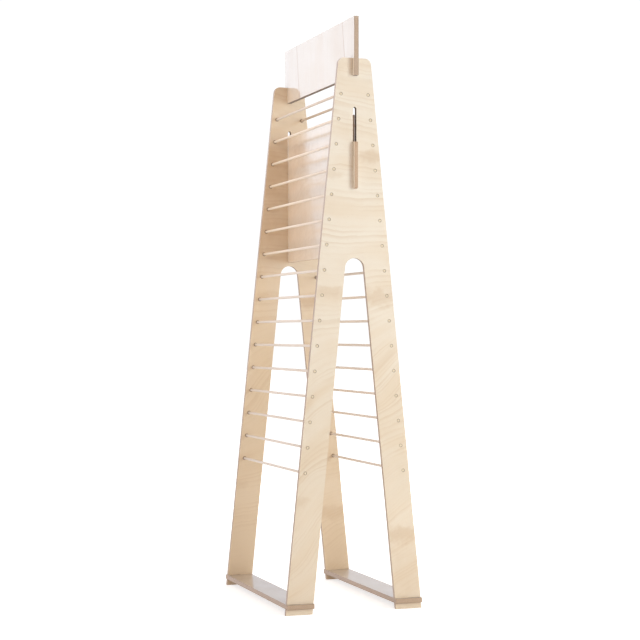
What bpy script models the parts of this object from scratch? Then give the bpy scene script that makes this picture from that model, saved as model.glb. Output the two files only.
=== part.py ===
"""Knock-down plywood A-frame rack, 1.77 m tall.

Two A-shaped side panels stand face to face. Thirty-two dowel rungs run between them, in a front
and a rear column that follow the slanted edges. A hooked spine panel ties the sides together, a
header board sits in notches at the top, and a foot board crosses each pair of legs near the floor.

Frame: metres, +Z up, +X along the rungs, front towards -Y, origin on the floor at the middle.
"""
import math

import bpy

# Side panels: flat A shapes, each in a plane of constant X.
CLEAR_WIDTH = 0.600
SIDE_THICKNESS = 0.012
SIDE_HEIGHT = 1.650
TOP_HALF_DEPTH = 0.0509
EDGE_SLOPE = 0.1
LEG_WIDTH = 0.0831
TOP_CORNER_RADIUS = 0.020
ARCH_RADIUS = 0.0304

# Rungs: dowels whose ends lie flush with the outer faces of the sides.
RUNG_LEVELS = 16
RUNG_PITCH = 0.075
TOP_RUNG_Z = 1.54125
RUNG_RADIUS = 0.004
RUNG_INSET = 0.0185
RUNG_SEGMENTS = 16

# Spine: upright panel on the centre plane, hung on the sides by a hook at each end.
SPINE_THICKNESS = 0.010
SPINE_BOTTOM = 1.065
SPINE_TOP = 1.482
SLOT_BOTTOM = 1.359
SLOT_TOP = 1.5035
HOOK_BOTTOM = 1.2595
HOOK_TOP = 1.3995
HOOK_RADIUS = 0.006
HOOK_OVERHANG = 0.015

# Header: board that stands in a notch in the top of each side.
HEADER_THICKNESS = 0.0145
HEADER_BOTTOM = 1.597
HEADER_TOP = 1.773
HEADER_OVERHANG = 0.015
NOTCH_BOTTOM = 1.6235

# Foot boards: flat boards, halved into the legs just above the floor.
FOOT_THICKNESS = 0.0145
FOOT_UNDERSIDE = 0.018
FOOT_OVERHANG = 0.010

# Shared by all parts.
FIT_GAP = 0.0003
CURVE_SEGMENTS = 10

INNER_FACE = CLEAR_WIDTH / 2
OUTER_FACE = INNER_FACE + SIDE_THICKNESS
FOOT_MIDDLE_Z = FOOT_UNDERSIDE + FOOT_THICKNESS / 2

PLYWOOD = (0.86, 0.74, 0.57)
PLYWOOD_PALE = (0.90, 0.81, 0.68)
DOWEL = (0.84, 0.68, 0.48)


def outer_edge(z):
    """Half-depth of a side panel at height z."""
    return TOP_HALF_DEPTH + EDGE_SLOPE * (SIDE_HEIGHT - z)


def inner_edge(z):
    """Half-width of the opening between the legs at height z."""
    return outer_edge(z) - LEG_WIDTH


def leg_middle(z):
    """Distance of a leg's centre line from the centre plane at height z."""
    return outer_edge(z) - LEG_WIDTH / 2


def arc(centre, radius, start_deg, end_deg, segments=CURVE_SEGMENTS):
    """Points along an arc, both ends included."""
    points = []
    for step in range(segments + 1):
        angle = math.radians(start_deg + (end_deg - start_deg) * step / segments)
        points.append((centre[0] + radius * math.cos(angle), centre[1] + radius * math.sin(angle)))
    return points


def circle(centre, radius, segments):
    """Points of a full circle, without the repeated last one."""
    return arc(centre, radius, 0, 360, segments)[:-1]


def mirrored(points):
    """The same points on the other side of the second axis, in reverse order."""
    return [(-u, v) for u, v in reversed(points)]


def rung_height(level):
    return TOP_RUNG_Z - RUNG_PITCH * level


def rung_depth(level):
    return outer_edge(rung_height(level)) - RUNG_INSET


def make_material(name, colour, roughness):
    material = bpy.data.materials.new(name)
    material.use_nodes = True
    shader = material.node_tree.nodes["Principled BSDF"]
    shader.inputs["Base Color"].default_value = (*colour, 1.0)
    shader.inputs["Roughness"].default_value = roughness
    shader.inputs["Metallic"].default_value = 0.0
    return material


def clear_scene():
    for scene_object in list(bpy.data.objects):
        bpy.data.objects.remove(scene_object, do_unlink=True)


class Rack:
    """The collection and the empty that hold every part of the rack."""

    def __init__(self, name):
        self.collection = bpy.data.collections.new(name)
        bpy.context.scene.collection.children.link(self.collection)
        self.root = bpy.data.objects.new(name + "_frame", None)
        self.collection.objects.link(self.root)

    def add(self, part, material):
        part.data.materials.clear()
        part.data.materials.append(material)
        for collection in list(part.users_collection):
            collection.objects.unlink(part)
        self.collection.objects.link(part)
        part.parent = self.root
        return part


def flat_board(name, outline, thickness, holes=()):
    """A board cut from sheet: a filled 2D outline with its holes, extruded both ways."""
    curve = bpy.data.curves.new(name, "CURVE")
    curve.dimensions = "2D"
    curve.fill_mode = "BOTH"
    curve.extrude = thickness / 2
    for loop in [outline, *holes]:
        spline = curve.splines.new("POLY")
        spline.points.add(len(loop) - 1)
        for point, (u, v) in zip(spline.points, loop):
            point.co = (u, v, 0.0, 1.0)
        spline.use_cyclic_u = True
    return bpy.data.objects.new(name, curve)


def side_outline():
    """Outline of a side panel in its own plane: first axis the depth, second axis the height."""
    tilt = math.degrees(math.atan(EDGE_SLOPE))
    slant = math.hypot(1.0, EDGE_SLOPE)

    corner_z = SIDE_HEIGHT - TOP_CORNER_RADIUS
    corner = (outer_edge(corner_z) - TOP_CORNER_RADIUS * slant, corner_z)

    arch_z = SIDE_HEIGHT - (ARCH_RADIUS * slant + LEG_WIDTH - TOP_HALF_DEPTH) / EDGE_SLOPE
    arch = arc((0.0, arch_z), ARCH_RADIUS, 90, tilt)

    slot_low = FOOT_UNDERSIDE - FIT_GAP
    slot_high = FOOT_UNDERSIDE + FOOT_THICKNESS + FIT_GAP
    slot_end = leg_middle(FOOT_MIDDLE_Z) - FIT_GAP / 2
    notch = HEADER_THICKNESS / 2 + FIT_GAP

    half = [
        *arch,
        (inner_edge(0.0), 0.0),
        (outer_edge(0.0), 0.0),
        (outer_edge(slot_low), slot_low),
        (slot_end, slot_low),
        (slot_end, slot_high),
        (outer_edge(slot_high), slot_high),
        *arc(corner, TOP_CORNER_RADIUS, tilt, 90),
        (notch, SIDE_HEIGHT),
        (notch, NOTCH_BOTTOM),
    ]
    return half + mirrored(half[1:])


def spine_slot():
    """Tall slot with a round top, which the spine's hook passes through."""
    half_width = SPINE_THICKNESS / 2 + FIT_GAP
    round_top = arc((0.0, SLOT_TOP - half_width), half_width, 0, 180)
    return [(-half_width, SLOT_BOTTOM), (half_width, SLOT_BOTTOM), *round_top]


def side_panel(name):
    holes = [spine_slot()]
    for level in range(RUNG_LEVELS):
        for facing in (-1, 1):
            centre = (facing * rung_depth(level), rung_height(level))
            holes.append(circle(centre, RUNG_RADIUS + FIT_GAP, RUNG_SEGMENTS))
    return flat_board(name, side_outline(), SIDE_THICKNESS, holes)


def spine_panel(name):
    """Upright panel with a hook at each end that hangs over the slot's lower edge."""
    hook_inner = OUTER_FACE + FIT_GAP
    hook_outer = OUTER_FACE + HOOK_OVERHANG
    body_end = INNER_FACE - FIT_GAP
    round_x = hook_outer - HOOK_RADIUS
    half = [
        (body_end, SPINE_BOTTOM),
        (body_end, SLOT_BOTTOM + FIT_GAP),
        (hook_inner, SLOT_BOTTOM + FIT_GAP),
        (hook_inner, HOOK_BOTTOM),
        *arc((round_x, HOOK_BOTTOM + HOOK_RADIUS), HOOK_RADIUS, -90, 0),
        *arc((round_x, HOOK_TOP - HOOK_RADIUS), HOOK_RADIUS, 0, 90),
        (body_end, HOOK_TOP),
        (body_end, SPINE_TOP),
    ]
    return flat_board(name, half + mirrored(half), SPINE_THICKNESS)


def header_board(name):
    """Upright board with a slot from below over each side panel."""
    end = OUTER_FACE + HEADER_OVERHANG
    slot_top = NOTCH_BOTTOM + FIT_GAP
    half = [
        (INNER_FACE - FIT_GAP, HEADER_BOTTOM),
        (INNER_FACE - FIT_GAP, slot_top),
        (OUTER_FACE + FIT_GAP, slot_top),
        (OUTER_FACE + FIT_GAP, HEADER_BOTTOM),
        (end, HEADER_BOTTOM),
        (end, HEADER_TOP),
    ]
    return flat_board(name, half + mirrored(half), HEADER_THICKNESS)


def foot_board(name, facing):
    """Flat board with a slot from its inner edge over each leg; facing is -1 at the front."""
    end = OUTER_FACE + FOOT_OVERHANG
    near = inner_edge(FOOT_MIDDLE_Z)
    far = outer_edge(FOOT_MIDDLE_Z)
    slot_end = leg_middle(FOOT_MIDDLE_Z) + FIT_GAP / 2
    half = [
        (INNER_FACE - FIT_GAP, near),
        (INNER_FACE - FIT_GAP, slot_end),
        (OUTER_FACE + FIT_GAP, slot_end),
        (OUTER_FACE + FIT_GAP, near),
        (end, near),
        (end, far),
    ]
    outline = [(x, facing * y) for x, y in half + mirrored(half)]
    return flat_board(name, outline, FOOT_THICKNESS)


def rung_mesh():
    """One dowel along X, shared by all the rungs."""
    bpy.ops.mesh.primitive_cylinder_add(
        vertices=RUNG_SEGMENTS,
        radius=RUNG_RADIUS,
        depth=2 * OUTER_FACE,
        rotation=(0.0, math.radians(90), 0.0),
    )
    template = bpy.context.object
    bpy.ops.object.transform_apply(location=False, rotation=True, scale=False)
    mesh = template.data
    mesh.shade_smooth()
    mesh.set_sharp_from_angle(angle=math.radians(40))
    bpy.data.objects.remove(template, do_unlink=True)
    return mesh


def build():
    clear_scene()
    rack = Rack("plywood_rack")
    upright_along_y = (math.radians(90), 0.0, math.radians(90))
    upright_along_x = (math.radians(90), 0.0, 0.0)

    side_material = make_material("side_plywood", PLYWOOD, 0.45)
    for name, side in (("left_side_panel", -1), ("right_side_panel", 1)):
        panel = rack.add(side_panel(name), side_material)
        panel.location = (side * (INNER_FACE + OUTER_FACE) / 2, 0.0, 0.0)
        panel.rotation_euler = upright_along_y

    rung_material = make_material("rung_dowel", DOWEL, 0.5)
    dowel = rung_mesh()
    for row, facing in (("front", -1), ("rear", 1)):
        for level in range(RUNG_LEVELS):
            rung = bpy.data.objects.new(f"{row}_rung_{level + 1:02d}", dowel)
            rack.add(rung, rung_material)
            rung.location = (0.0, facing * rung_depth(level), rung_height(level))

    spine = rack.add(spine_panel("spine_panel"), make_material("spine_plywood", PLYWOOD_PALE, 0.4))
    spine.rotation_euler = upright_along_x

    header = rack.add(header_board("header_board"), make_material("header_plywood", PLYWOOD_PALE, 0.35))
    header.rotation_euler = upright_along_x

    foot_material = make_material("foot_plywood", PLYWOOD, 0.45)
    for name, facing in (("front_foot_board", -1), ("rear_foot_board", 1)):
        foot = rack.add(foot_board(name, facing), foot_material)
        foot.location = (0.0, 0.0, FOOT_MIDDLE_Z)


build()
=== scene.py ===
"""Looks for the knock-down plywood rack: eased edges, birch veneer, ply edges, dowels, the studio.

Every piece is built from a CAD node's own outline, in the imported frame: metres, +Z up, +X along
the rungs, front towards -Y. Each piece keeps its origin at the frame's, so that a material's
Object coordinates are the rack's own coordinates at rest.
"""

import math

import bmesh
import bpy
from mathutils import Matrix, Vector


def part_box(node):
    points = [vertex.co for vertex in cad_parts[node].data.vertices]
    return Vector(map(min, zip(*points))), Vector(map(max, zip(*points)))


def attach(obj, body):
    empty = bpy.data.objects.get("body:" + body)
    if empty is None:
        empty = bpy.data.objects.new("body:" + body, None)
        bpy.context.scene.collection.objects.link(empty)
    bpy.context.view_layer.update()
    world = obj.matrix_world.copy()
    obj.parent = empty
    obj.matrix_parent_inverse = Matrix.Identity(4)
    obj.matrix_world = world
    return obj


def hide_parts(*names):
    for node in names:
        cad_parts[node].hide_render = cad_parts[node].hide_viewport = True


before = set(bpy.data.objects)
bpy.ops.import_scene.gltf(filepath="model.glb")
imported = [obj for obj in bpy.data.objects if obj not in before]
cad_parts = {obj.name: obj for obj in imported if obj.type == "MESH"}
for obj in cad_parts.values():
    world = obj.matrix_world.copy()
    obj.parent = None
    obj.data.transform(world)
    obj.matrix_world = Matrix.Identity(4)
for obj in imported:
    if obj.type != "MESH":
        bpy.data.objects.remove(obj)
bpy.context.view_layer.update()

AXES = {"x": 0, "y": 1, "z": 2}


# ---------------------------------------------------------------- shader helpers


class Nodes:
    """Short calls for building a material's node tree."""

    def __init__(self, tree):
        self.tree = tree

    def add(self, kind, **values):
        node = self.tree.nodes.new(kind)
        for name, value in values.items():
            setattr(node, name, value)
        return node

    def put(self, socket, value):
        if isinstance(value, bpy.types.NodeSocket):
            self.tree.links.new(value, socket)
        else:
            socket.default_value = value

    def math(self, operation, a, b=0.0, c=0.0):
        node = self.add("ShaderNodeMath", operation=operation)
        for socket, value in zip(node.inputs, (a, b, c)):
            self.put(socket, value)
        return node.outputs[0]

    def minus(self, a, b):
        return self.math("SUBTRACT", a, b)

    def times(self, a, b):
        return self.math("MULTIPLY", a, b)

    def times_plus(self, a, b, c):
        return self.math("MULTIPLY_ADD", a, b, c)

    def absolute(self, a):
        return self.math("ABSOLUTE", a)

    def hypotenuse(self, a, b):
        return self.math("SQRT", self.times_plus(a, a, self.times(b, b)))

    def combine(self, x, y, z):
        node = self.add("ShaderNodeCombineXYZ")
        for socket, value in zip(node.inputs, (x, y, z)):
            self.put(socket, value)
        return node.outputs[0]

    def separate(self, vector):
        node = self.add("ShaderNodeSeparateXYZ")
        self.put(node.inputs[0], vector)
        return node.outputs

    def object_axes(self):
        return self.separate(self.add("ShaderNodeTexCoord").outputs["Object"])

    def noise(self, vector, scale=1.0, detail=2.0, roughness=0.5):
        node = self.add("ShaderNodeTexNoise")
        self.put(node.inputs["Vector"], vector)
        self.put(node.inputs["Scale"], scale)
        self.put(node.inputs["Detail"], detail)
        self.put(node.inputs["Roughness"], roughness)
        return node.outputs["Fac"]

    def ramp(self, value, low, high, out_low=0.0, out_high=1.0, smooth=True):
        node = self.add("ShaderNodeMapRange")
        node.interpolation_type = "SMOOTHSTEP" if smooth else "LINEAR"
        for name, number in (
            ("Value", value),
            ("From Min", low),
            ("From Max", high),
            ("To Min", out_low),
            ("To Max", out_high),
        ):
            self.put(node.inputs[name], number)
        return node.outputs[0]

    def mix(self, factor, a, b):
        node = self.add("ShaderNodeMix", data_type="RGBA")
        self.put(node.inputs["Factor"], factor)
        self.put(node.inputs["A"], colour(a))
        self.put(node.inputs["B"], colour(b))
        return node.outputs["Result"]


def colour(value):
    """A three-number colour with its alpha added, or a socket as it is."""
    return value if isinstance(value, bpy.types.NodeSocket) else (*value, 1.0)


def principled(name):
    material = bpy.data.materials.new(name)
    material.use_nodes = True
    tree = material.node_tree
    return material, Nodes(tree), tree.nodes["Principled BSDF"]


def bump(nodes, shader, height, distance, strength=1.0, socket="Normal"):
    node = nodes.add("ShaderNodeBump")
    nodes.put(node.inputs["Height"], height)
    node.inputs["Distance"].default_value = distance
    node.inputs["Strength"].default_value = strength
    nodes.put(shader.inputs[socket], node.outputs[0])


# ---------------------------------------------------------------- wood materials

VENEER_PALE = (0.825, 0.735, 0.625)
VENEER_TAN = (0.735, 0.560, 0.380)
VENEER_LINE = (0.600, 0.410, 0.245)
VENEER_FLECK = (0.420, 0.260, 0.140)
VENEER_BLEACHED = (0.770, 0.770, 0.735)
VENEER_SILVERED = (0.620, 0.640, 0.640)
VENEER_GREYED = (0.430, 0.345, 0.270)
PLY_LONG = (0.650, 0.485, 0.355)
PLY_END = (0.410, 0.280, 0.195)
PLY_GLUE = (0.150, 0.088, 0.050)
PLY_GREYED = (0.520, 0.460, 0.430)
PLY_ORANGE = (0.680, 0.420, 0.270)
# Painted shade for the walls of slots and rung holes.
WALL_SHADE = (0.135, 0.088, 0.055)
# Painted shade for the header's underside, which faces down.
UNDERSIDE_SHADE = (0.310, 0.265, 0.235)
# Laser scorching round the rung holes, with painted contact shade of the joints.
SCORCH_AND_SHADE = (0.220, 0.125, 0.060)
DOWEL_PALE = (0.880, 0.825, 0.765)
DOWEL_TAN = (0.720, 0.625, 0.525)
# Painted warm light on the upper rungs.
DOWEL_PAINTED_LIGHT = (0.980, 0.840, 0.630)
# Painted shade on the top rung.
DOWEL_PAINTED_SHADE = (0.490, 0.385, 0.290)
DOWEL_END = (0.800, 0.675, 0.500)
# Painted shade of the joint round each dowel's end.
DOWEL_RIM_SHADE = (0.200, 0.108, 0.045)

# Growth rings in metres, and how many rings the uneven growth may add.
RING_SPACING = 0.017
RING_RIPPLE = 0.012
RING_UNEVEN = 2.4
# The legs' wilder figure, and the heights between which it fades out.
LEG_FIGURE = 0.24
LEG_TOP = (0.70, 1.00)
WARMTH_TOP = 1.1
SEAM_HALF_WIDTH = (0.0020, 0.0055)
SCORCH_SHADE_FADE = 0.0019
SCORCH_SHADE_RAGGED = 0.0012

LACQUER_IOR = 1.58
LACQUER_WAVES = 0.00025
FULL_COAT = (1.0, 0.08, LACQUER_WAVES)
HAZY_COAT = (1.0, 0.15, 0.0014)

# Painted warm light on the rungs: heights over which it comes in and fades out again, and the stretch
# of X over which it fades.
PAINTED_LIGHT_STARTS = (0.98, 1.12)
PAINTED_LIGHT_STOPS = (1.47, 1.53)
PAINTED_LIGHT_ACROSS = (-0.20, 0.20)
# Heights over which the top rung darkens: painted shade.
TOP_RUNG_SHADE = (1.50, 1.54)


def drawn_noise(nodes, along, across, shift, scales, detail):
    """Noise with a scale of its own along the grain and across it."""
    along_scale, across_scale = scales
    place = nodes.combine(nodes.times(along, along_scale), nodes.times(across, across_scale), shift)
    return nodes.noise(place, detail=detail)


def growth_lines(nodes, along, across, figure, lean, shift):
    """Rotary-cut growth rings: contours of the distance across the grain, bent by slow noise.

    Gives that bent distance, and a mask of the dark late wood that ends each ring.
    """
    slow = drawn_noise(nodes, along, across, shift, scales=(2.6, 2.0), detail=1.0)
    slow = nodes.minus(slow, 0.5)
    ripple = nodes.noise(nodes.combine(along, across, shift), scale=20.0)
    bent = nodes.times_plus(slow, figure, across)
    bent = nodes.minus(bent, nodes.times(along, lean))
    bent = nodes.times_plus(ripple, RING_RIPPLE, bent)

    uneven = nodes.noise(nodes.combine(0.0, bent, shift), scale=26.0, detail=1.0)
    turns = nodes.math("DIVIDE", bent, RING_SPACING)
    ring = nodes.math("FRACT", nodes.times_plus(uneven, RING_UNEVEN, turns))
    late_wood = nodes.times(nodes.ramp(ring, 0.35, 0.90), nodes.ramp(ring, 0.93, 1.0, 1.0, 0.0))
    fading = drawn_noise(nodes, along, bent, shift, scales=(3.0, 14.0), detail=3.0)
    return bent, nodes.times(late_wood, nodes.ramp(fading, 0.42, 0.68, 0.10, 1.0))


def gloss_coat(nodes, shader, axes, weight, roughness, waviness=LACQUER_WAVES):
    """A brushed lacquer coat, its surface a little wavy."""
    waves = nodes.noise(nodes.combine(axes[0], axes[1], axes[2]), scale=24.0)
    bump(nodes, shader, waves, waviness, socket="Coat Normal")
    shader.inputs["Coat Weight"].default_value = weight
    shader.inputs["Coat Roughness"].default_value = roughness
    shader.inputs["Coat IOR"].default_value = LACQUER_IOR


def patch_and_shade_mask(nodes, along, across, shift, patch):
    """A soft darker patch, for darker veneer and for painted shade: centre along and across the
    grain, half length, half width, strength.
    """
    centre_along, centre_across, half_along, half_across, strength = patch
    off_along = nodes.math("DIVIDE", nodes.minus(along, centre_along), half_along)
    off_across = nodes.math("DIVIDE", nodes.minus(across, centre_across), half_across)
    ragged = nodes.noise(nodes.combine(along, across, shift), scale=45.0)
    reach = nodes.times_plus(ragged, 1.2, nodes.hypotenuse(off_along, off_across))
    return nodes.ramp(reach, 0.9, 1.7, strength, 0.0)


def centre_of(node):
    low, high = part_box(node)
    return (low + high) / 2


def scorch_and_shade_mask(nodes, axes, strength, spread):
    """Laser scorching with painted contact shade round each rung hole, out to `spread` from the
    dowel.

    The rungs stand at an even pitch along two slanting lines, one in front and one behind.
    """
    levels = sum(node.startswith("rear_rung_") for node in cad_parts)
    top, bottom = centre_of("rear_rung_01"), centre_of(f"rear_rung_{levels:02d}")
    low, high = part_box("rear_rung_01")
    radius = (high.z - low.z) / 2
    last = levels - 1
    pitch = (top.z - bottom.z) / last
    level = nodes.math("ROUND", nodes.math("DIVIDE", nodes.minus(top.z, axes[2]), pitch))
    level = nodes.math("MINIMUM", nodes.math("MAXIMUM", level, 0.0), float(last))
    hole_z = nodes.times_plus(level, -pitch, top.z)
    hole_y = nodes.times_plus(level, (bottom.y - top.y) / last, top.y)
    off_z = nodes.minus(axes[2], hole_z)
    off_y = nodes.minus(nodes.absolute(axes[1]), hole_y)
    ring_noise = nodes.noise(nodes.combine(axes[0], axes[1], axes[2]), scale=160.0)
    reach = nodes.times_plus(ring_noise, SCORCH_SHADE_RAGGED, nodes.hypotenuse(off_y, off_z))
    return nodes.ramp(reach, radius + spread - SCORCH_SHADE_FADE, radius + spread, strength, 0.0)


def veneer(name, thin, grain, figure, shift, leg_lean=0.0, contrast=1.0, warmth=None, wash=None,
           coat=FULL_COAT, patches=(), seams=(), scorch_and_shade=None):
    """Lacquered birch face veneer of a sheet lying across axis `thin`, its grain along `grain`.

    `figure` is how far the growth lines wander, and `shift` picks another piece of veneer.
    `leg_lean` is the slope of the lines below LEG_TOP. `warmth` is the share of tan wood at the
    floor and at WARMTH_TOP. `wash` is an amount and a colour, `coat` is gloss_coat's weight,
    roughness and waviness, and the argument for the rings round the rung holes holds their
    strength and spread: laser scorching with painted contact shade. Some patches are painted
    shade. A seam is a height, its X there and its slope.
    """
    material, nodes, shader = principled(name)
    axes = nodes.object_axes()
    cross = [axis for axis in "xyz" if axis not in (thin, grain)][0]
    depth, along, across = axes[AXES[thin]], axes[AXES[grain]], axes[AXES[cross]]
    in_leg = nodes.ramp(axes[2], *LEG_TOP, 1.0, 0.0) if leg_lean else 0.0
    figure = nodes.times_plus(in_leg, LEG_FIGURE, figure)
    bent, late_wood = growth_lines(nodes, along, across, figure, nodes.times(in_leg, leg_lean), shift)

    clouds = drawn_noise(nodes, along, bent, shift, scales=(3.5, 13.0), detail=3.0)
    clouds = nodes.ramp(clouds, 0.36, 0.68)
    bands = drawn_noise(nodes, along, bent, shift + 4.0, scales=(2.0, 9.0), detail=1.0)
    bands = nodes.ramp(bands, 0.66, 0.76)
    fibre_place = nodes.combine(nodes.times(along, 0.045), bent, depth)
    fibres = nodes.noise(fibre_place, scale=1500.0, roughness=0.6)
    fleck_place = nodes.combine(nodes.times(along, 0.10), bent, shift)
    flecks = nodes.ramp(nodes.noise(fleck_place, scale=620.0, detail=1.0), 0.77, 0.82)

    tone = nodes.mix(nodes.times(clouds, 0.38), VENEER_PALE, VENEER_TAN)
    if warmth:
        share = nodes.ramp(axes[2], 0.0, WARMTH_TOP, *warmth, smooth=False)
        tone = nodes.mix(share, tone, VENEER_TAN)
    tone = nodes.mix(nodes.times(bands, 0.30), tone, VENEER_LINE)
    for patch in patches:
        # Darker veneer, and painted shade where a patch stands for it.
        tone = nodes.mix(patch_and_shade_mask(nodes, along, across, shift, patch), tone, VENEER_LINE)
    tone = nodes.mix(nodes.times(late_wood, 0.31 * contrast), tone, VENEER_LINE)
    tone = nodes.mix(nodes.ramp(fibres, 0.50, 0.80, 0.0, 0.20), tone, VENEER_LINE)
    tone = nodes.mix(nodes.times(flecks, 0.55), tone, VENEER_FLECK)
    for height, position, slope in seams:
        line = nodes.times_plus(nodes.minus(axes[2], height), slope, position)
        distance = nodes.absolute(nodes.minus(axes[0], line))
        tone = nodes.mix(nodes.ramp(distance, *SEAM_HALF_WIDTH, 0.85, 0.0), tone, VENEER_LINE)
    if wash:
        amount, tint = wash
        tone = nodes.mix(amount, tone, tint)
    # Rings round the rung holes: laser scorching and painted contact shade.
    if scorch_and_shade:
        tone = nodes.mix(scorch_and_shade_mask(nodes, axes, *scorch_and_shade), tone, SCORCH_AND_SHADE)
    nodes.put(shader.inputs["Base Color"], tone)

    lacquer = nodes.noise(nodes.combine(axes[0], axes[1], axes[2]), scale=11.0, detail=3.0)
    nodes.put(shader.inputs["Roughness"], nodes.ramp(lacquer, 0.3, 0.7, 0.36, 0.48))
    bump(nodes, shader, fibres, 0.00012, 0.6)
    gloss_coat(nodes, shader, axes, *coat)
    return material


def ply_edge(name, thin, low, high, plies, wash, wash_end=1.0):
    """Cut edge of plywood: long and end grain in turn, dark glue lines, browned near both faces.

    The sheet runs from `low` to `high` along `thin`. The wash, an amount and a colour, is laid
    over it as far as `wash_end` from the rack's middle along X.
    """
    material, nodes, shader = principled(name)
    axes = nodes.object_axes()
    place = nodes.ramp(axes[AXES[thin]], low, high, smooth=False)
    point = nodes.combine(axes[0], axes[1], axes[2])
    wobble = nodes.noise(point, scale=40.0)
    odd = nodes.math("PINGPONG", nodes.times_plus(wobble, 0.16, nodes.times(place, plies)), 1.0)
    layer = nodes.ramp(odd, 0.44, 0.56)
    glue = nodes.ramp(nodes.absolute(nodes.minus(odd, 0.5)), 0.03, 0.10, 1.0, 0.0)
    pores = nodes.noise(point, scale=900.0, roughness=0.7)
    pore_mask = nodes.ramp(pores, 0.48, 0.72)
    stain = nodes.ramp(nodes.noise(point, scale=26.0, detail=3.0), 0.35, 0.75, 0.0, 0.35)
    browned = nodes.ramp(nodes.absolute(nodes.minus(place, 0.5)), 0.30, 0.50, 0.0, 0.40)

    long_grain = nodes.mix(nodes.times(pore_mask, 0.30), PLY_LONG, PLY_END)
    end_grain = nodes.mix(nodes.times(pore_mask, 0.55), PLY_END, PLY_GLUE)
    tone = nodes.mix(layer, long_grain, end_grain)
    tone = nodes.mix(nodes.times(glue, 0.6), tone, PLY_GLUE)
    tone = nodes.mix(stain, tone, PLY_END)
    tone = nodes.mix(browned, tone, PLY_GLUE)
    amount, tint = wash
    washed = nodes.ramp(nodes.absolute(axes[0]), wash_end, wash_end + 0.010, amount, 0.0)
    nodes.put(shader.inputs["Base Color"], nodes.mix(washed, tone, tint))
    nodes.put(shader.inputs["Roughness"], nodes.ramp(pores, 0.3, 0.7, 0.55, 0.72))
    bump(nodes, shader, pores, 0.00015, 0.6)
    gloss_coat(nodes, shader, axes, 0.5, 0.25)
    return material


def shade_painted_wall(name, darkness):
    """Wall of a slot or a rung hole, drawn near black as painted shade of the recess, with lighter
    scuffs.
    """
    material, nodes, shader = principled(name)
    axes = nodes.object_axes()
    point = nodes.combine(axes[0], axes[1], nodes.times(axes[2], 0.4))
    scuffs = nodes.noise(point, scale=180.0, detail=3.0, roughness=0.6)
    tone = nodes.mix(nodes.ramp(scuffs, 0.52, 0.78), darkness, PLY_END)
    nodes.put(shader.inputs["Base Color"], tone)
    nodes.put(shader.inputs["Roughness"], nodes.ramp(scuffs, 0.3, 0.7, 0.65, 0.80))
    bump(nodes, shader, scuffs, 0.00010, 0.6)
    shader.inputs["Specular IOR Level"].default_value = 0.0
    return material


def dowel_wood(name, tan):
    """Turned birch dowel: straight fibres along X, a dark ring round the end grain as painted shade.

    `tan` is the darkest share of tan wood in its bands; the rear rungs' higher share is painted
    shade.
    Rungs between the painted-light heights carry painted warm light, most of all at their left end,
    and the top one is darker with painted shade.
    """
    material, nodes, shader = principled(name)
    place = nodes.add("ShaderNodeTexCoord")
    axes = nodes.separate(place.outputs["Object"])
    facing = nodes.separate(place.outputs["Normal"])
    within = nodes.separate(place.outputs["Generated"])

    fibre_place = nodes.combine(nodes.times(axes[0], 0.02), axes[1], axes[2])
    fibres = nodes.noise(fibre_place, scale=1400.0, detail=3.0, roughness=0.6)
    band_place = nodes.combine(nodes.times(axes[0], 0.05), axes[1], axes[2])
    bands = nodes.ramp(nodes.noise(band_place, scale=60.0), 0.40, 0.75, tan - 0.4, tan)
    tone = nodes.mix(bands, DOWEL_PALE, DOWEL_TAN)
    tone = nodes.mix(nodes.ramp(fibres, 0.5, 0.75, 0.0, 0.30), tone, DOWEL_TAN)
    # Painted warm light on the upper rungs, strongest at their left ends; then painted shade on the
    # top rung.
    upper = nodes.ramp(axes[2], *PAINTED_LIGHT_STARTS)
    painted_light = nodes.times(upper, nodes.ramp(axes[2], *PAINTED_LIGHT_STOPS, 1.0, 0.2))
    painted_light = nodes.times(painted_light, nodes.ramp(axes[0], *PAINTED_LIGHT_ACROSS, 0.50, 0.10))
    tone = nodes.mix(painted_light, tone, DOWEL_PAINTED_LIGHT)
    tone = nodes.mix(nodes.ramp(axes[2], *TOP_RUNG_SHADE, 0.0, 0.55 * tan), tone, DOWEL_PAINTED_SHADE)

    from_axis = nodes.hypotenuse(nodes.minus(within[1], 0.5), nodes.minus(within[2], 0.5))
    # A dark ring round the end grain: painted shade of the joint.
    rim_shade = nodes.ramp(from_axis, 0.42, 0.49)
    point = nodes.combine(axes[0], axes[1], axes[2])
    pores = nodes.noise(point, scale=2600.0, roughness=0.6)
    end = nodes.mix(nodes.ramp(pores, 0.4, 0.7, 0.0, 0.4), DOWEL_END, DOWEL_TAN)
    end = nodes.mix(rim_shade, end, DOWEL_RIM_SHADE)
    on_end = nodes.ramp(nodes.absolute(facing[0]), 0.30, 0.60)
    nodes.put(shader.inputs["Base Color"], nodes.mix(on_end, tone, end))
    nodes.put(shader.inputs["Roughness"], nodes.ramp(fibres, 0.3, 0.7, 0.38, 0.50))
    bump(nodes, shader, fibres, 0.00008, 0.5)
    gloss_coat(nodes, shader, axes, 0.15, 0.20)
    return material


# ---------------------------------------------------------------- boards from their CAD nodes

EASED_EDGE = 0.00025
WELD = 1e-6
BOARD_CREASE = math.radians(50)
HOLE_MARGIN = 0.001
# How squarely a face looks along the board's thin axis, where 1 is a flat face and 0 an edge.
FULLY_FLAT = 0.98
MOSTLY_FLAT = 0.6
FACES_DOWN = -0.8

# From a flat curve's X, Y and thickness to the rack's axes, for a board lying across each axis.
PLANE_OF = {
    "x": Matrix(((0, 0, 1, 0), (1, 0, 0, 0), (0, 1, 0, 0), (0, 0, 0, 1))),
    "y": Matrix(((1, 0, 0, 0), (0, 0, -1, 0), (0, 1, 0, 0), (0, 0, 0, 1))),
    "z": Matrix.Identity(4),
}


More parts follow.
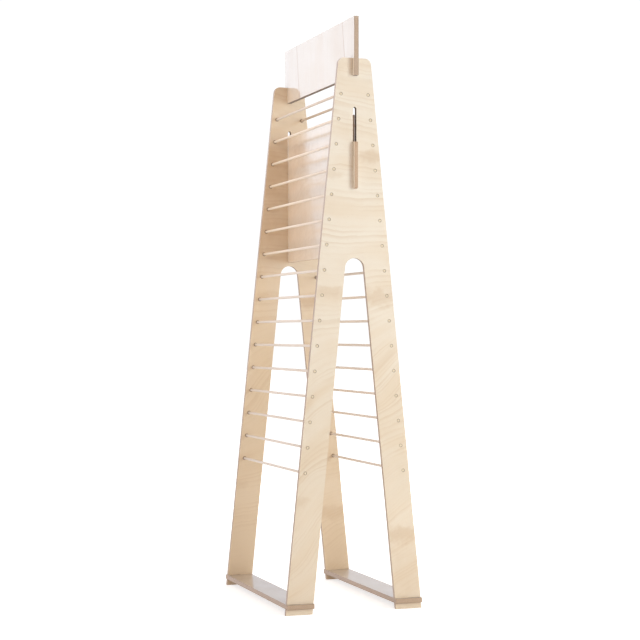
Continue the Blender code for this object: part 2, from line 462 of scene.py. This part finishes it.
def loop_span(loop):
    """A size that puts a board's outline before its holes."""
    heights = [place.z for place in loop]
    flats = [place.x + place.y for place in loop]
    return (max(heights) - min(heights)) + (max(flats) - min(flats))


def cap_loops(node, thin):
    """Outline and hole loops of a board, largest first, read from the flat face of its CAD node."""
    mesh = bmesh.new()
    mesh.from_mesh(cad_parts[node].data)
    bmesh.ops.remove_doubles(mesh, verts=mesh.verts, dist=WELD)
    mesh.normal_update()
    axis = AXES[thin]
    cap = {face for face in mesh.faces if face.normal[axis] > FULLY_FLAT}
    links = {}
    for face in cap:
        for loop in face.loops:
            shared = [other for other in loop.edge.link_faces if other in cap]
            if len(shared) == 1:
                links[loop.vert.index] = loop.link_loop_next.vert.index
    places = [vertex.co.copy() for vertex in mesh.verts]
    mesh.free()

    loops = []
    while links:
        start = next(iter(links))
        loop = [start]
        following = links.pop(start)
        while following != start:
            loop.append(following)
            following = links.pop(following)
        loops.append([places[index] for index in loop])
    return sorted(loops, key=loop_span, reverse=True)


def inside(place, loop):
    """Whether a place lies in the box round a loop, a little grown, whatever its depth."""
    for axis in range(3):
        low = min(point[axis] for point in loop)
        high = max(point[axis] for point in loop)
        if low < high and not low - HOLE_MARGIN <= place[axis] <= high + HOLE_MARGIN:
            return False
    return True


def eased_mesh(name, node, thin, loops):
    """A sheet with the node's exact outline, holes and thickness, its edges rounded over."""
    low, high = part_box(node)
    axis = AXES[thin]
    plane = PLANE_OF[thin]
    middle = Vector((0.0, 0.0, 0.0))
    middle[axis] = (low[axis] + high[axis]) / 2
    to_local = plane.inverted()

    curve = bpy.data.curves.new(name, "CURVE")
    curve.dimensions = "2D"
    curve.fill_mode = "BOTH"
    curve.extrude = (high[axis] - low[axis]) / 2 - EASED_EDGE
    curve.bevel_depth = EASED_EDGE
    curve.bevel_resolution = 2
    curve.offset = -EASED_EDGE
    for loop in loops:
        spline = curve.splines.new("POLY")
        spline.points.add(len(loop) - 1)
        for point, place in zip(spline.points, loop):
            local = to_local @ place
            point.co = (local.x, local.y, 0.0, 1.0)
        spline.use_cyclic_u = True

    holder = bpy.data.objects.new(name + "_outline", curve)
    bpy.context.scene.collection.objects.link(holder)
    bpy.context.view_layer.update()
    evaluated = holder.evaluated_get(bpy.context.evaluated_depsgraph_get())
    mesh = bpy.data.meshes.new_from_object(evaluated)
    bpy.data.objects.remove(holder, do_unlink=True)
    bpy.data.curves.remove(curve)

    mesh.transform(Matrix.Translation(middle) @ plane)
    welded = bmesh.new()
    welded.from_mesh(mesh)
    bmesh.ops.remove_doubles(welded, verts=welded.verts, dist=WELD)
    bmesh.ops.recalc_face_normals(welded, faces=welded.faces)
    welded.to_mesh(mesh)
    welded.free()
    mesh.shade_smooth()
    mesh.set_sharp_from_angle(angle=BOARD_CREASE)
    return mesh


def sort_faces(mesh, axis, holes, shaded_below):
    """Material 0 for the flat faces, 1 for the edges, 2 for hole walls and, where asked, the
    underside: painted shade.
    """
    for face in mesh.polygons:
        flatness = abs(face.normal[axis])
        face.material_index = 0 if flatness > MOSTLY_FLAT else 1
        in_hole = flatness < FULLY_FLAT and any(inside(face.center, hole) for hole in holes)
        if in_hole or (shaded_below and face.normal.z < FACES_DOWN):
            face.material_index = 2


def eased_board(name, node, thin, face_wood, edge_wood, body, shaded_below=False):
    """The piece that stands for a board's CAD node, in its three woods."""
    loops = cap_loops(node, thin)
    mesh = eased_mesh(name, node, thin, loops)
    mesh.materials.clear()
    mesh.materials.append(face_wood)
    mesh.materials.append(edge_wood)
    # The third material: walls of slots and holes, and the header's underside, as painted shade.
    mesh.materials.append(shade_painted_wall(name + "_painted_shade", UNDERSIDE_SHADE if shaded_below else WALL_SHADE))
    sort_faces(mesh, AXES[thin], loops[1:], shaded_below)

    piece = bpy.data.objects.new(name, mesh)
    bpy.context.scene.collection.objects.link(piece)
    flat = piece.modifiers.new("flat_faces", "WEIGHTED_NORMAL")
    flat.weight = 100
    flat.keep_sharp = True
    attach(piece, body)
    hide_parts(node)


# ---------------------------------------------------------------- dowels

DOWEL_SIDES = 32
DOWEL_CHAMFER = 0.0008
DOWEL_SOFTENED = DOWEL_CHAMFER * 0.35
DOWEL_CREASE = math.radians(30)


def dowel(name, node, material):
    """A dowel with softened chamfers at its ends, in its node's place."""
    low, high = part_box(node)
    radius = (high.z - low.z) / 2
    centre = (low + high) / 2
    profile = [
        (low.x, radius - DOWEL_CHAMFER),
        (low.x + DOWEL_SOFTENED, radius - DOWEL_SOFTENED),
        (low.x + DOWEL_CHAMFER, radius),
        (high.x - DOWEL_CHAMFER, radius),
        (high.x - DOWEL_SOFTENED, radius - DOWEL_SOFTENED),
        (high.x, radius - DOWEL_CHAMFER),
    ]
    shape = bmesh.new()
    rings = []
    for x, ring_radius in profile:
        ring = []
        for step in range(DOWEL_SIDES):
            angle = 2 * math.pi * step / DOWEL_SIDES
            y = centre.y + ring_radius * math.cos(angle)
            z = centre.z + ring_radius * math.sin(angle)
            ring.append(shape.verts.new((x, y, z)))
        rings.append(ring)
    for first, second in zip(rings, rings[1:]):
        for step in range(DOWEL_SIDES):
            after = (step + 1) % DOWEL_SIDES
            shape.faces.new((first[step], first[after], second[after], second[step]))
    shape.faces.new(rings[0][::-1])
    shape.faces.new(rings[-1])
    bmesh.ops.recalc_face_normals(shape, faces=shape.faces)
    mesh = bpy.data.meshes.new(name)
    shape.to_mesh(mesh)
    shape.free()
    mesh.shade_smooth()
    mesh.set_sharp_from_angle(angle=DOWEL_CREASE)
    mesh.materials.append(material)

    piece = bpy.data.objects.new(name, mesh)
    bpy.context.scene.collection.objects.link(piece)
    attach(piece, "stand")
    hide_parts(node)


# ---------------------------------------------------------------- the rack

# Darker patches: centre along the grain, height, half length, half width, strength. Those on both
# sides are darker veneer.
# The grain runs along Y on the sides and along X on the spine.
SIDE_PATCHES = (
    (0.052, 1.356, 0.064, 0.026, 0.46),
    (0.080, 0.936, 0.080, 0.034, 0.42),
    (-0.082, 0.951, 0.070, 0.022, 0.34),
    (-0.070, 1.300, 0.050, 0.016, 0.25),
    (0.150, 0.223, 0.090, 0.032, 0.48),
    (0.170, 0.110, 0.080, 0.100, 0.16),
    (0.190, 0.006, 0.080, 0.030, 0.26),
    (-0.190, 0.330, 0.060, 0.022, 0.30),
)
LEFT_SIDE_PATCHES_AND_SHADE = SIDE_PATCHES + (
    # Painted shade on the left side's inner face: its shaded upper part, and the soft shadows under
    # the upper rungs.
    (-0.078, 1.370, 0.070, 0.110, 0.26),
    (-0.095, 1.190, 0.070, 0.110, 0.18),
    (-0.030, 1.466, 0.034, 0.009, 0.26),
    (-0.038, 1.388, 0.070, 0.010, 0.46),
    (-0.062, 1.238, 0.036, 0.009, 0.30),
    (-0.050, 1.160, 0.060, 0.009, 0.34),
    (-0.045, 1.081, 0.070, 0.009, 0.32),
)
# Painted shade on the spine's front: shadows under the front rungs, and darker towards the left side.
SPINE_PAINTED_SHADE = (
    (-0.160, 1.426, 0.110, 0.026, 0.54),
    (-0.310, 1.372, 0.045, 0.034, 0.34),
    (-0.140, 1.385, 0.120, 0.018, 0.34),
    (-0.215, 1.315, 0.060, 0.020, 0.18),
    (-0.230, 1.240, 0.150, 0.220, 0.22),
)

# What veneer takes for each side and each foot board.
SIDE_LOOKS = {
    "left": {
        "shift": 3.7,
        "leg_lean": 0.5,
        "warmth": (0.95, 0.66),
        "patches": LEFT_SIDE_PATCHES_AND_SHADE,
        # The left side's rings are darker and wider: more painted shade at its rung holes.
        "scorch_and_shade": (0.95, 0.0036),
    },
    "right": {
        "shift": 0.0,
        "leg_lean": 0.6,
        "warmth": (0.46, 0.0),
        "patches": SIDE_PATCHES,
        "scorch_and_shade": (0.70, 0.0026),
    },
}
FOOT_LOOKS = {
    "front": {"shift": 21.5, "coat": (0.66, 0.06, LACQUER_WAVES)},
    "rear": {"shift": 28.9, "coat": (0.50, 0.06, LACQUER_WAVES)},
}
# The strips of the header's face meet here: X at the top of the header, and the seam's slope.
HEADER_SEAMS = ((0.2245, -0.188), (-0.2042, -0.163))
# The unwashed length at each end of a foot board.
FOOT_END = 0.022
# The darkest share of tan wood in each row's rungs; the rear row's higher share is painted shade.
ROW_TAN_AND_SHADE = {"front": 0.5, "rear": 1.0}


def build_sides():
    for side, look in SIDE_LOOKS.items():
        node = f"{side}_side_panel"
        low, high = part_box(node)
        face = veneer(f"birch_{side}_side", "x", "y", figure=0.14, **look)
        edge = ply_edge(
            f"birch_{side}_side_edge", "x", low.x, high.x, plies=9, wash=(0.35, PLY_GREYED))
        eased_board(f"{side}_side_ply", node, "x", face, edge, "stand")


def build_spine():
    low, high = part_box("spine_panel")
    face = veneer(
        "birch_spine", "y", "x", figure=0.30, shift=7.3, contrast=0.55,
        wash=(0.25, VENEER_BLEACHED), coat=HAZY_COAT, patches=SPINE_PAINTED_SHADE)
    edge = ply_edge(
        "birch_spine_edge", "y", low.y, high.y, plies=7, wash=(0.30, PLY_ORANGE))
    eased_board("spine_ply", "spine_panel", "y", face, edge, "spine")


def build_header():
    low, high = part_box("header_board")
    seams = [(high.z, *seam) for seam in HEADER_SEAMS]
    face = veneer(
        "birch_header", "y", "z", figure=0.12, shift=12.1, contrast=0.45,
        wash=(0.28, VENEER_SILVERED), seams=seams)
    edge = ply_edge(
        "birch_header_edge", "y", low.y, high.y, plies=11, wash=(0.12, PLY_GREYED))
    # The header's underside, facing down, is darkened as painted shade.
    eased_board(
        "header_ply", "header_board", "y", face, edge, "header",
        shaded_below=True)


def build_feet():
    for row, look in FOOT_LOOKS.items():
        node = f"{row}_foot_board"
        low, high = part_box(node)
        face = veneer(
            f"birch_{row}_foot", "z", "x", figure=0.05, contrast=0.6,
            wash=(0.75, VENEER_GREYED), **look)
        edge = ply_edge(
            f"birch_{row}_foot_edge", "z", low.z, high.z, plies=11, wash=(0.35, PLY_GREYED),
            wash_end=high.x - FOOT_END)
        eased_board(f"{row}_foot_ply", node, "z", face, edge, f"{row}_foot")


def build_rungs():
    woods = {row: dowel_wood(f"birch_{row}_dowel", tan) for row, tan in ROW_TAN_AND_SHADE.items()}
    for node in sorted(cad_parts):
        if "_rung_" in node:
            dowel(node + "_dowel", node, woods[node.split("_")[0]])


# ---------------------------------------------------------------- studio

SHADE_LIGHT = (1.0, 0.77, 0.56)
SHADE_STRENGTH = 0.40
GLOSS_LIGHT = (0.86, 0.90, 1.0)
GLOSS_STRENGTH = 1.0
BACKDROP_LIGHT = (1.0, 1.0, 1.0)
BACKDROP_STRENGTH = 1.05

FLOOR_WIDTH = 60.0
FLOOR_PALE = (0.86, 0.86, 0.86)
FLOOR_PALER = (0.88, 0.88, 0.88)
FLOOR_GLOW = (0.93, 0.96, 1.0, 1.0)
# A distance from the rack and the floor's glow there, and its glow as a light on the wood.
GLOW_NEAR = (0.8, 0.61)
GLOW_FAR = (2.4, 1.0)
GLOW_UNSEEN = 0.20

# The photograph's viewpoint: about 5 m away, 70 degrees round towards +X, 0.83 m high.
CAMERA_PLACE = (4.740, -1.689, 0.828)
CAMERA_YAW = math.radians(19.63)
CAMERA_LIFT = 0.0085
CAMERA_LENS = 89.46

# Soft lamps: place, the point aimed at, width, height, power in watts, colour.
LAMPS = {
    "left_wall": ((-3.2, -1.6, 3.0), (0.0, 0.0, 1.5), 3.0, 2.6, 21.0, (0.60, 0.80, 1.0)),
    "front_wall": ((-0.6, -3.2, 0.5), (0.0, 0.0, 0.35), 3.0, 0.9, 27.0, (0.88, 0.87, 1.0)),
    "front_fill": ((0.3, -1.8, 2.4), (-0.1, 0.0, 1.30), 0.8, 0.8, 2.9, (1.0, 0.79, 0.57)),
    "back_wall": ((-3.2, 2.2, 2.4), (0.0, 0.0, 0.9), 2.4, 1.4, 38.0, (0.92, 0.96, 1.0)),
    "key": ((2.75, 2.05, 1.5), (0.0, 0.0, 1.0), 1.4, 2.2, 72.0, (0.87, 0.975, 1.0)),
    "near_fill": ((4.2, -0.2, 1.6), (0.3, 0.0, 1.0), 1.0, 1.8, 12.5, (0.87, 0.975, 1.0)),
}
FRONT_FILL_SPREAD = math.radians(75)


def build_camera():
    data = bpy.data.cameras.new("studio_camera")
    data.sensor_width = 36.0
    data.lens = CAMERA_LENS
    camera = bpy.data.objects.new("studio_camera", data)
    bpy.context.scene.collection.objects.link(camera)
    camera.location = CAMERA_PLACE
    forward = Vector((-math.cos(CAMERA_YAW), math.sin(CAMERA_YAW), CAMERA_LIFT))
    camera.rotation_euler = forward.to_track_quat("-Z", "Y").to_euler()
    bpy.context.scene.camera = camera


def build_world():
    """White to the camera, cool in reflections and warm where it only lights the wood."""
    world = bpy.data.worlds.new("studio_world")
    bpy.context.scene.world = world
    world.use_nodes = True
    nodes = Nodes(world.node_tree)
    background = world.node_tree.nodes["Background"]
    path = nodes.add("ShaderNodeLightPath")
    seen, glossy = path.outputs["Is Camera Ray"], path.outputs["Is Glossy Ray"]
    tint = nodes.mix(glossy, SHADE_LIGHT, GLOSS_LIGHT)
    nodes.put(background.inputs["Color"], nodes.mix(seen, tint, BACKDROP_LIGHT))
    strength = nodes.ramp(glossy, 0.0, 1.0, SHADE_STRENGTH, GLOSS_STRENGTH, smooth=False)
    strength = nodes.ramp(seen, 0.0, 1.0, strength, BACKDROP_STRENGTH, smooth=False)
    nodes.put(background.inputs["Strength"], strength)


def build_floor():
    """A pale floor that glows more away from the rack, so that it meets the backdrop unseen."""
    bpy.ops.mesh.primitive_plane_add(size=FLOOR_WIDTH, location=(0.0, 0.0, 0.0))
    floor = bpy.context.object
    floor.name = "studio_floor"
    material, nodes, shader = principled("floor_white")
    place = nodes.add("ShaderNodeTexCoord").outputs["Object"]
    mottle = nodes.noise(place, scale=3.0)
    nodes.put(shader.inputs["Base Color"], nodes.mix(mottle, FLOOR_PALE, FLOOR_PALER))
    shader.inputs["Roughness"].default_value = 0.9
    shader.inputs["Emission Color"].default_value = FLOOR_GLOW
    axes = nodes.separate(place)
    near, near_glow = GLOW_NEAR
    far, far_glow = GLOW_FAR
    glow = nodes.ramp(nodes.hypotenuse(axes[0], axes[1]), near, far, near_glow, far_glow)
    seen = nodes.add("ShaderNodeLightPath").outputs["Is Camera Ray"]
    strength = nodes.ramp(seen, 0.0, 1.0, GLOW_UNSEEN, glow, smooth=False)
    nodes.put(shader.inputs["Emission Strength"], strength)
    floor.data.materials.append(material)


def area_light(name, place, target, width, height, power, tint):
    data = bpy.data.lights.new(name, "AREA")
    data.shape = "RECTANGLE"
    data.size = width
    data.size_y = height
    data.energy = power
    data.color = tint
    light = bpy.data.objects.new(name, data)
    bpy.context.scene.collection.objects.link(light)
    light.location = place
    direction = Vector(target) - Vector(place)
    light.rotation_euler = direction.to_track_quat("-Z", "Y").to_euler()
    light.visible_camera = False
    return light


def build_lights():
    """The lamps; the two on the right would bleach the lacquer if they showed in it."""
    lamps = {name: area_light(name, *values) for name, values in LAMPS.items()}
    lamps["front_fill"].data.spread = FRONT_FILL_SPREAD
    for name in ("key", "near_fill"):
        lamps[name].visible_glossy = False


build_camera()
build_world()
build_floor()
build_lights()
build_sides()
build_spine()
build_header()
build_feet()
build_rungs()

bpy.context.scene.view_settings.view_transform = "Standard"
